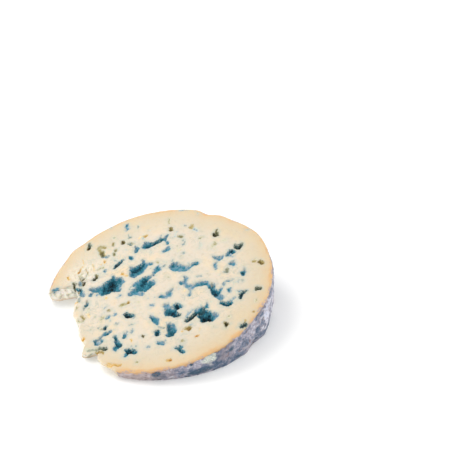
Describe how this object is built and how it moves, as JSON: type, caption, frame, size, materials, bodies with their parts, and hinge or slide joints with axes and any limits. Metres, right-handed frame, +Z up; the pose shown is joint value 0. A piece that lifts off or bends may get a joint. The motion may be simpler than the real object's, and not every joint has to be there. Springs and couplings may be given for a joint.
{
  "type": "cheese wedge",
  "caption": "Thick round slice of natural-rind blue cheese, tapering like a wedge, with a mould-veined cut face and one broken edge.",
  "frame": {"origin": "where the axis of the round cheese meets the flat base of the slice", "axes": "+Z up from the base along the cheese's axis, +X toward the thick side, +Y across the slope of the cut face"},
  "size_m": [0.1273, 0.1323, 0.0322],
  "materials": {
    "paste": "moist matte cut cheese"
  },
  "bodies": {
    "root": {"cheese_wedge": "paste"}
  },
  "joints": []
}
